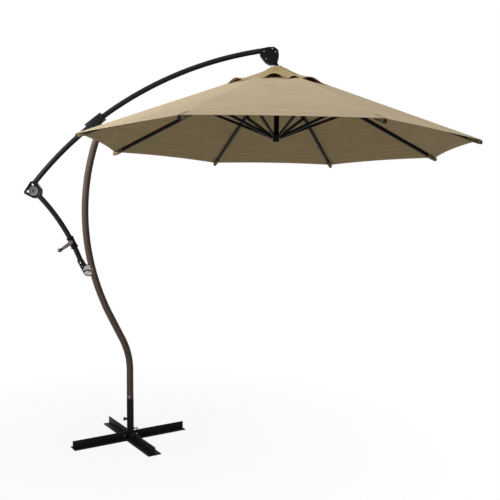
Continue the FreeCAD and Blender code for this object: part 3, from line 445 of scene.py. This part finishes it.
tipRadius, tipHeight = localTip()
clothCut = {"thickness": 0.0012, "vent": 0.190, "sag": 0.006, "hemIn": 0.019, "hemFold": 0.022, "hemThick": 0.0012,
            "overhang": 0.007, "kept": 0.10, "ribFlat": 0.009, "seamBand": 0.009, "seamLift": 0.0008, "rows": 46, "columns": 36}


hemRadius = tipRadius + clothCut["overhang"]


def coneHeight(radius):
    return tipHeight + (tipRadius - radius) * ribFall


def goreGrid(index, inner, outer, rows, columns, heightAt, spread=1.0):
    # rows of (point, gore, side share, row radius) across a strip, level lines first on its left gore
    out, left = ribFrame(index)
    grid = []
    for row in range(rows + 1):
        share = (row / rows) ** spread
        line = []
        for column in range(-columns, columns + 1):
            side = column / columns
            across = math.copysign(abs(side) ** 1.0, side) if side else 0.0
            radius = inner + (outer - inner) * share
            line.append((radius, across))
        grid.append(line)
    points = []
    for line in grid:
        placed = []
        for radius, across in line:
            drawn, height = heightAt(index, radius, across)
            rib = out * drawn
            middle = (out * math.cos(halfGore) + left * math.copysign(math.sin(halfGore), across)) * drawn \
                * math.cos(halfGore)
            flat = rib.lerp(middle, abs(across))
            placed.append(hub + flat + canopyUp * height)
        points.append(placed)
    return grid, points


def sheetMesh(name, index, grid, points, thickness, rimRadius, materials, hem):
    # closed cloth: the upper face, the under face and the rim between them
    rows, columns = len(points), len(points[0])
    mesh = bmesh.new()
    upper = [[mesh.verts.new(point) for point in line] for line in points]
    lower = []
    for line, placed in zip(grid, points):
        drop = []
        for (radius, across), point in zip(line, placed):
            extra = hem["hemThick"] if rimRadius - radius < hem["hemFold"] else 0.0
            drop.append(mesh.verts.new(point - canopyUp * (thickness + extra)))
        lower.append(drop)
    weave = mesh.loops.layers.uv.new("weave")
    edge = mesh.loops.layers.uv.new("edge")
    slant = math.sqrt(1 + (ribFall / math.cos(halfGore)) ** 2)

    def face(corners, cells, material):
        made = mesh.faces.new([corner for corner in corners])
        made.material_index = material
        made.smooth = True
        side = sum(grid[row][column][1] for row, column in cells)
        for loop, (row, column) in zip(made.loops, cells):
            radius, across = grid[row][column]
            gore = index if side >= 0 else (index - 1) % len(pivots)
            apothem = radius * math.cos(halfGore)
            lateral = apothem * math.tan(halfGore) * (1 - abs(across)) * (1 if side < 0 else -1)
            loop[weave].uv = (lateral + gore * 1.7, apothem * slant + gore * 0.37)
            loop[edge].uv = (apothem * math.tan(halfGore) * abs(across), (rimRadius - radius) * math.cos(halfGore) * slant)

    for row in range(rows - 1):
        for column in range(columns - 1):
            cells = [(row, column), (row + 1, column), (row + 1, column + 1), (row, column + 1)]
            face([upper[r][c] for r, c in cells], cells, 0)
            cells.reverse()
            face([lower[r][c] for r, c in cells], cells, 1)
    for column in range(columns - 1):
        for row, flip in ((0, True), (rows - 1, False)):
            cells = [(row, column), (row, column + 1)]
            ring = [upper[row][column], lower[row][column], lower[row][column + 1], upper[row][column + 1]]
            spots = [cells[0], cells[0], cells[1], cells[1]]
            if flip:
                ring.reverse()
                spots.reverse()
            face(ring, spots, 0)
    for row in range(rows - 1):
        for column, flip in ((0, False), (columns - 1, True)):
            ring = [upper[row][column], lower[row][column], lower[row + 1][column], upper[row + 1][column]]
            spots = [(row, column), (row, column), (row + 1, column), (row + 1, column)]
            if flip:
                ring.reverse()
                spots.reverse()
            face(ring, spots, 0)
    bmesh.ops.recalc_face_normals(mesh, faces=mesh.faces)
    for edgeLine in mesh.edges:
        edgeLine.smooth = edgeLine.calc_face_angle(0.0) < 0.9
    data = bpy.data.meshes.new(name)
    mesh.to_mesh(data)
    mesh.free()
    for material in materials:
        data.materials.append(material)
    piece = bpy.data.objects.new(name, data)
    bpy.context.scene.collection.objects.link(piece)
    return piece


def ease(value):
    value = max(0.0, min(1.0, value))
    return value * value * (3 - 2 * value)


def mainHeight(index, radius, across):
    # the cloth's line on the rib, its sag between the ribs and the hem's inward curve
    reach = max(0.0, (radius - 0.45 * hemRadius) / (0.55 * hemRadius)) ** 2
    side = abs(across)
    bow = 1 - (1 - side) ** 2
    drawn = radius - clothCut["hemIn"] * reach * bow
    apart = radius * math.sin(halfGore) * side
    past = max(0.0, apart - clothCut["ribFlat"]) / max(radius * math.sin(halfGore) - clothCut["ribFlat"], 0.01)
    sag = clothCut["sag"] * math.sin(math.pi * min(radius / hemRadius, 1.0)) * (1 - (1 - min(past, 1.0)) ** 2)
    seam = clothCut["seamLift"] if apart < clothCut["seamBand"] else 0.0
    gore = index if across >= 0 else (index - 1) % len(pivots)
    ripple = 0.0018 * math.sin(9 * math.pi * radius / tipRadius + gore * 1.9) * math.sin(math.pi * side) ** 2
    return drawn, coneHeight(drawn) - sag + seam + ripple * (1 - reach)


ventCap = {"inner": 0.033, "outer": 0.357, "stand": 0.0018, "crownFrom": 0.105, "crownRise": 0.0140,
           "crownFlat": 0.030, "thickness": 0.0011, "rows": 48, "columns": 30, "dip": 0.006, "pleat": 0.0075, "kept": 0.20,
           # lifts of the hem in each gore: middle and half width as shares of the gore, height, first radius
           "flaps": {0: [(0.10, 0.75, 0.018, 0.20)], 1: [(-0.15, 0.8, 0.020, 0.21)], 2: [(0.2, 0.8, 0.016, 0.2)],
                     3: [(-0.05, 0.8, 0.022, 0.22)], 4: [(-0.38, 0.62, 0.027, 0.25)],
                     5: [(-0.20, 0.54, 0.029, 0.20), (0.70, 0.30, 0.015, 0.24)],
                     6: [(-0.22, 0.85, 0.024, 0.15)], 7: [(-0.1, 0.8, 0.016, 0.22)]}}


def capHeight(index, radius, across):
    side = abs(across)
    gore = index if across >= 0 else (index - 1) % len(pivots)
    # position across the gore, from -1 on its first rib to 1 on its next
    place = (side - 1) if across >= 0 else (1 - side)
    height = coneHeight(radius) + ventCap["stand"]
    if radius < ventCap["crownFrom"]:
        share = 1 - ease((radius - ventCap["crownFlat"]) / (ventCap["crownFrom"] - ventCap["crownFlat"]))
        height += ventCap["crownRise"] * share
        # the rim of the hole dips where the tilt knob stands over it
        turn = math.atan2((out := ribFrame(index)[0]).y, out.x) + halfGore * across
        height -= ventCap["dip"] * max(0.0, math.cos(turn)) ** 3 * share ** 2
    lift = 0.0
    for middle, width, tall, start in ventCap["flaps"][gore]:
        offset = (place - middle) / width
        outward = max(0.0, (radius - start) / (ventCap["outer"] - start)) ** 1.6
        lift += tall * max(0.0, 1 - offset * offset) ** 2 * outward
    pleat = ventCap["pleat"] * math.sin(place * 4.6 + gore * 2.3) ** 4 * math.sin(math.pi * side)
    near = ease((radius - 0.035) / 0.03) * ease((0.20 - radius) / 0.11)
    return radius, height + lift + pleat * near


canopyPieces = []


tipPocket = {"length": 0.080, "width": 0.0225, "depth": 0.0270, "tipWidth": 0.021, "tipDepth": 0.0255, "wall": 0.0012,
             "past": 0.0090}


def cornerPocket(index):
    # cloth sleeve that holds the rib's end: a tapered box opened at its inner end, puffed and smoothed
    out, left = ribFrame(index)
    slope = (out - canopyUp * ribFall).normalized()
    under = slope.cross(left).normalized()
    if under.dot(canopyUp) > 0:
        under = -under
    reach = tipRadius + tipPocket["past"]
    tip = hub + out * reach + canopyUp * (coneHeight(reach) - 0.0014)
    deselectAll()
    bpy.ops.mesh.primitive_cube_add(size=1)
    pocket = bpy.context.object
    pick(pocket, lambda centre, normal: normal.x < -0.9)
    bpy.ops.mesh.delete(type="FACE")
    pick(pocket, lambda centre, normal: centre.x > 0.4, "VERT")
    bpy.ops.transform.resize(value=(1, tipPocket["tipWidth"] / tipPocket["width"],
                                    tipPocket["tipDepth"] / tipPocket["depth"]), center_override=(0.5, 0, 0.5))
    bpy.ops.mesh.select_all(action="SELECT")
    bpy.ops.mesh.subdivide(number_cuts=7)
    pick(pocket, lambda centre, normal: centre.z < 0.3, "VERT")
    bpy.ops.object.mode_set(mode="OBJECT")
    for point in pocket.data.vertices:
        belly = math.sin(math.pi * min(1.0, max(0.0, point.co.x + 0.5)))
        point.co.y *= 1 + 0.10 * belly
        rounded = (2 * abs(point.co.y)) ** 4
        if point.co.z < 0:
            point.co.z *= 1 - 0.22 * rounded
        point.co.z -= 0.05 * belly * max(0.0, -point.co.z)
    along = slope * tipPocket["length"]
    across = left * tipPocket["width"]
    down = -under * tipPocket["depth"]
    for point in pocket.data.vertices:
        x, y, z = point.co.x - 0.5, point.co.y, point.co.z - 0.5
        point.co = tip + along * x + across * y + down * z
    wall = pocket.modifiers.new("Solidify", "SOLIDIFY")
    wall.thickness = tipPocket["wall"]
    wall.offset = 1
    softer = pocket.modifiers.new("Subdivision", "SUBSURF")
    softer.levels = 1
    softer.render_levels = 1
    applyAll(pocket)
    for name in ("weave", "edge"):
        layer = pocket.data.uv_layers.new(name=name)
        for loop in pocket.data.loops:
            point = pocket.data.vertices[loop.vertex_index].co - hub
            layer.data[loop.index].uv = (point.dot(left), point.dot(slope)) if name == "weave" else (0.3, 0.3)
    return finishPiece(pocket, f"corner_pocket_{index + 1}", f"rib_{index + 1}", "canopy_cloth", material=clothPocket,
                       smooth=60)


for index in range(len(pivots)):
    out, left = ribFrame(index)
    grid, points = goreGrid(index, clothCut["vent"], hemRadius, clothCut["rows"], clothCut["columns"], mainHeight, 0.8)
    strip = sheetMesh(f"canopy_cloth_{index + 1}", index, grid, points, clothCut["thickness"], hemRadius,
                      (clothTop, clothUnderPaintedShade), clothCut)
    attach(strip, f"rib_{index + 1}")
    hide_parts(f"canopy_panel_{index + 1}")
    pocket = cornerPocket(index)
    capGrid, capPoints = goreGrid(index, ventCap["inner"], ventCap["outer"], ventCap["rows"], ventCap["columns"],
                                  capHeight, 0.9)
    cap = sheetMesh(f"vent_cap_{index + 1}", index, capGrid, capPoints, ventCap["thickness"], ventCap["outer"],
                    (clothCap, clothUnderPaintedShade), clothCut)
    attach(cap, f"rib_{index + 1}")
    for piece, keep in ((strip, clothCut["kept"]), (cap, ventCap["kept"])):
        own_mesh(piece)
    canopyPieces += [strip, cap, pocket]
print("canopy cloth ready:", len(canopyPieces), "pieces")

# ---------- castings, tubes and base ----------

soft = {"base_beam_long": 0.0012, "base_beam_short": 0.0012, "corner_brackets": 0.0008, "base_post": 0.0006,
        "base_bolts": 0.0006, "post_bushing": 0.0008, "post_lock_knob": 0.0014, "strut_eye": 0.0020,
        "mast_lug": 0.0015, "saddle_front": 0.0035, "saddle_rear": 0.0035, "knuckle_bolts": 0.0012,
        "crank_housing_front": 0.0018, "crank_housing_rear": 0.0018, "crank_shaft": 0.0008, "upper_hub": 0.0010,
        "runner": 0.0010, "tilt_fork": 0.0010, "tilt_knob": 0.0012, "head_axle": 0.0008, "mast_button": 0.0008}
for name, width in soft.items():
    piece = dressed(f"{name}_finished", name, bevel=width)
    if name in ("head_axle", "knuckle_bolts"):
        piece.data.materials[0] = looks["black_casting"]
for name in ("mast_tube", "mast_spigot", "boom_tube", "strut_upper_tube", "strut_lower_tube", "guide_tube",
             "head_pulley", "crank_grip", "hub_pins"):
    dressed(f"{name}_finished", name, bevel=0.0004, smooth=30, segments=1)
for number in range(1, 9):
    dressed(f"rib_{number}_finished", f"rib_{number}", bevel=0.0009)
    dressed(f"link_{number}_finished", f"link_{number}", bevel=0.0009)
print("tubes and base ready")


def rounded(corners, steps=6):
    # outline through corners given as (x, z, radius), each rounded by its own radius
    line = []
    for place, (x, z, radius) in enumerate(corners):
        here = Vector((x, z))
        before = Vector(corners[place - 1][:2]) - here
        after = Vector(corners[(place + 1) % len(corners)][:2]) - here
        if radius <= 0:
            line.append(here)
            continue
        half = before.angle(after) / 2
        cut = min(radius / math.tan(half), before.length * 0.49, after.length * 0.49)
        start, end = here + before.normalized() * cut, here + after.normalized() * cut
        for step in range(steps + 1):
            share = step / steps
            line.append(start * (1 - share) ** 2 + here * (2 * share * (1 - share)) + end * share ** 2)
    return line


def plate(outline, centre, front, back, turn=0.0):
    # flat blank in the outline's shape, standing in the x-z plane, from its front face to its back
    deselectAll()
    bpy.ops.mesh.primitive_circle_add(vertices=len(outline), radius=0.02, fill_type="NGON")
    blank = bpy.context.object
    spin = Matrix.Rotation(turn, 2)
    for point, flat in zip(blank.data.vertices, outline):
        moved = spin @ Vector(flat)
        point.co = (centre[0] + moved.x, front, centre[2] + moved.y)
    activate(blank)
    bpy.ops.object.mode_set(mode="EDIT")
    bpy.ops.mesh.select_all(action="SELECT")
    bpy.ops.mesh.extrude_region_move(TRANSFORM_OT_translate={"value": (0, back - front, 0)})
    bpy.ops.object.mode_set(mode="OBJECT")
    outwards(blank)
    return blank


def ringPoints(radius, count=40, first=0.0, last=2 * math.pi):
    closed = abs(last - first - 2 * math.pi) < 1e-6
    stops = count if closed else count - 1
    return [(radius * math.cos(first + (last - first) * step / stops),
             radius * math.sin(first + (last - first) * step / stops)) for step in range(count)]


def frontFace(piece, level):
    pick(piece, lambda centre, normal: normal.y < -0.9 and centre.y < level + 0.0002)


def screw(name, body, centre, front, radius=0.005, tall=0.003, slot="bolt_steel", material=None):
    # pan head with a hexagon socket
    head = plate(ringPoints(radius, 20), (centre[0], 0, centre[1]), front - tall, front + 0.001)
    frontFace(head, front - tall)
    bpy.ops.mesh.inset(thickness=radius * 0.5)
    bpy.ops.transform.translate(value=(0, tall * 0.6, 0))
    bpy.ops.object.mode_set(mode="OBJECT")
    return finishPiece(head, name, body, slot, bevel=radius * 0.18, material=material)


headPin = Vector(joints["canopy_tilt"]["pos_m"])
headCase = {"corners": ((-68, 27, 8), (-52, 43, 16), (-24, 53, 22), (24, 56, 26), (53, 36, 26), (57, -4, 24),
                        (49, -37, 22), (20, -58, 22), (-8, -57, 20), (-34, -41, 22), (-56, -14, 20), (-69, 4, 8)),
            "front": -0.0262, "rim": 0.006, "recess": 0.0022, "bevel": 0.006, "gap": 0.0004,
            "screws": ((-41, 24), (34, 22), (12, 43), (-30, -24), (38, -20), (4, -45)), "brightScrews": 4}
outline = rounded([(x / 1000, z / 1000, r / 1000) for x, z, r in headCase["corners"]])
for side, node in ((-1, "head_shell_front"), (1, "head_shell_rear")):
    shell = plate(outline, headPin, headCase["front"] * -side if side > 0 else headCase["front"], headCase["gap"] * side)
    pick(shell, lambda centre, normal: normal.y * side > 0.9)
    bpy.ops.mesh.inset(thickness=headCase["rim"])
    bpy.ops.transform.translate(value=(0, -headCase["recess"] * side, 0))
    bpy.ops.object.mode_set(mode="OBJECT")
    finishPiece(shell, f"{node}_finished", bodyOf[node], slotOf[node], (node,), bevel=headCase["bevel"] * 0.4, segments=3)
for number, (x, z) in enumerate(headCase["screws"], 1):
    screw(f"head_screw_{number}", bodyOf["head_shell_front"], (headPin.x + x / 1000, headPin.z + z / 1000),
          headCase["front"] + headCase["recess"], 0.0040,
          material=looks["bolt_steel" if number <= headCase["brightScrews"] else "black_casting"])

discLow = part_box("knuckle_discs")[0]
elbowPin = Vector((-0.6343, 0, 1.6736))
elbow = {"corners": ((-64, -4, 5), (-19, 64, 9), (14, 64, 8), (30, 38, 8), (51, 12, 22), (49, -24, 22), (26, -46, 22),
                     (-2, -49, 12), (-62, -18, 5)),
         "front": -0.0200, "rim": 0.004, "recess": 0.002, "bevel": 0.0035, "disc": 0.0305, "inner": 0.0255, "shift": (-0.0035, 0.0030)}
outline = rounded([(x / 1000, z / 1000, r / 1000) for x, z, r in elbow["corners"]])
casting = plate(outline, elbowPin, elbow["front"], -elbow["front"])
for side in (-1, 1):
    pick(casting, lambda centre, normal: normal.y * side > 0.9)
    bpy.ops.mesh.inset(thickness=elbow["rim"])
    bpy.ops.transform.translate(value=(0, -elbow["recess"] * side, 0))
bpy.ops.object.mode_set(mode="OBJECT")
finishPiece(casting, "elbow_casting_finished", bodyOf["elbow_casting"], "black_casting", ("elbow_casting",),
            bevel=0.0016, segments=3)
print("head and elbow castings ready")

darkDisc = brightMetal("darkDisc", (0.024, 0.0235, 0.027), 0.5, 0.05)
paleDisc = brightMetal("paleDisc", (0.125, 0.118, 0.125), 0.45, 0.25)
footDisc = brightMetal("footDisc", (0.42, 0.385, 0.41), 0.45, 0.2)
latchSteel = brightMetal("latchSteel", (0.42, 0.42, 0.42), 0.4, 0.2)


def knuckleDisc(name, centre, radius, front, back, material, replaced=(), dish=0.0015):
    # turned cover disc with a stepped rim
    cover = plate(ringPoints(radius, 48), centre, front, back)
    frontFace(cover, front)
    bpy.ops.mesh.inset(thickness=radius * 0.16)
    bpy.ops.transform.translate(value=(0, dish, 0))
    bpy.ops.mesh.inset(thickness=radius * 0.55)
    bpy.ops.transform.translate(value=(0, -dish * 0.8, 0))
    bpy.ops.object.mode_set(mode="OBJECT")
    return finishPiece(cover, name, "mast", "disc_grey", replaced, material, bevel=0.0009)


# painted highlight: the pale rim disc shows as a light crescent at the lower right, where the dark cover disc is set
# off-centre over it
front = elbow["front"] - 0.0035
knuckleDisc("elbow_disc_highlight_rim", elbowPin, elbow["disc"], front, elbow["front"] + 0.0025, paleDisc, ("knuckle_discs",))
offset = Vector((elbow["shift"][0], 0, elbow["shift"][1]))
knuckleDisc("elbow_disc", elbowPin + offset, elbow["inner"], front - 0.0020, front + 0.002, darkDisc, dish=0.0008)
latch = plate(rounded([(-0.011, -0.007, 0.002), (0.011, -0.009, 0.002), (0.010, 0.008, 0.002), (-0.009, 0.007, 0.002)], 3),
              elbowPin + Vector((-0.0330, 0, -0.0040)), front, elbow["front"] + 0.003, 0.0)
finishPiece(latch, "elbow_latch", "mast", "disc_grey", material=latchSteel, bevel=0.0014)
tab = plate(rounded([(-0.008, -0.005, 0.002), (0.008, -0.005, 0.002), (0.008, 0.005, 0.002), (-0.008, 0.005, 0.002)], 3),
            elbowPin + Vector((0.0, 0, 0.031)), front + 0.001, elbow["front"] + 0.003, -0.25)
finishPiece(tab, "elbow_tab", "mast", "disc_grey", material=paleDisc, bevel=0.0012)
screw("elbow_screw", "mast", (elbowPin.x - 0.006, elbowPin.z + 0.045), elbow["front"] + 0.002, 0.0045,
      material=looks["button_steel"])

footPin = Vector((-0.2714, 0, 1.1425))
neckPoint = Vector((-0.3335, 0, 1.2150))
along = Vector((0.450, 0, -0.893))
sideways = Vector((-along.z, 0, along.x))
foot = {"rim": 0.0405, "neck": 0.0178, "front": -0.0185, "disc": 0.0335, "arc": (192, 478),
        "screws": ((-0.3234, 1.1942), (-0.3099, 1.1692))}
arc = []
tube = [neckPoint + sideways * foot["neck"], neckPoint - sideways * foot["neck"]]
for step in range(25):
    angle = math.radians(foot["arc"][0] + (foot["arc"][1] - foot["arc"][0]) * step / 24)
    arc.append((foot["rim"] * math.cos(angle), foot["rim"] * math.sin(angle)))
outline = [(point.x - footPin.x, point.z - footPin.z) for point in tube] + arc
hook = plate(outline, footPin, foot["front"], -foot["front"])
finishPiece(hook, "strut_foot_finished", "mast", "black_casting", ("strut_foot",), bevel=0.0060, segments=4)
knuckleDisc("foot_disc", footPin, foot["disc"], foot["front"] - 0.0035, foot["front"] + 0.003, footDisc, dish=0.0012)
bar = [(radius * math.cos(angle) - 0.004, radius * math.sin(angle) - 0.030) for radius, turns in
       ((0.0365, range(0, 13)), (0.0285, range(12, -1, -1))) for angle in [math.radians(40 + 8.5 * turn) for turn in turns]]
groove = plate(bar, footPin, foot["front"] - 0.0045, foot["front"] - 0.0005)
finishPiece(groove, "foot_groove", "mast", "black_casting", bevel=0.0006)
for number, spot in enumerate(foot["screws"], 1):
    screw(f"foot_screw_{number}", "mast", spot, foot["front"], 0.0048,
          material=looks["button_steel"] if number == 1 else paleDisc)

crankAxis = Vector(joints["crank_turn"]["pos_m"])
gripAxis = Vector(joints["grip_turn"]["pos_m"])
lever = {"hub": 0.0150, "tip": 0.0085, "front": -0.0350, "back": -0.0275}
along = Vector((gripAxis.x - crankAxis.x, 0, gripAxis.z - crankAxis.z))
angle = math.atan2(along.z, along.x)
outline = [(x, z) for x, z in ringPoints(lever["hub"], 17, math.radians(80), math.radians(280))]
outline += [(x + along.length, z) for x, z in ringPoints(lever["tip"], 13, math.radians(-80), math.radians(80))]
arm = plate(outline, Vector((crankAxis.x, 0, crankAxis.z)), lever["front"], lever["back"], angle)
boss = plate(ringPoints(0.0115, 28), Vector((crankAxis.x, 0, crankAxis.z)), lever["front"] - 0.004, lever["back"])
arm = joined(arm, boss)
finishPiece(arm, "crank_arm_finished", bodyOf["crank_arm"], "crank_taupe", ("crank_arm",), bevel=0.0018, segments=3)
pin = plate(ringPoints(0.0050, 20), Vector((gripAxis.x, 0, gripAxis.z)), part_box("crank_grip")[0][1] - 0.0016, lever["front"] + 0.001)
finishPiece(pin, "grip_pin", bodyOf["crank_arm"], "crank_taupe", material=looks["disc_grey"], bevel=0.0008)
socket = plate(ringPoints(0.0105, 24), Vector((gripAxis.x, 0, gripAxis.z)) - along.normalized() * 0.006,
               lever["front"] - 0.0008, lever["back"] - 0.001)
finishPiece(socket, "arm_socket", bodyOf["crank_arm"], "black_plastic", bevel=0.0010)
print("castings, tubes and base ready")
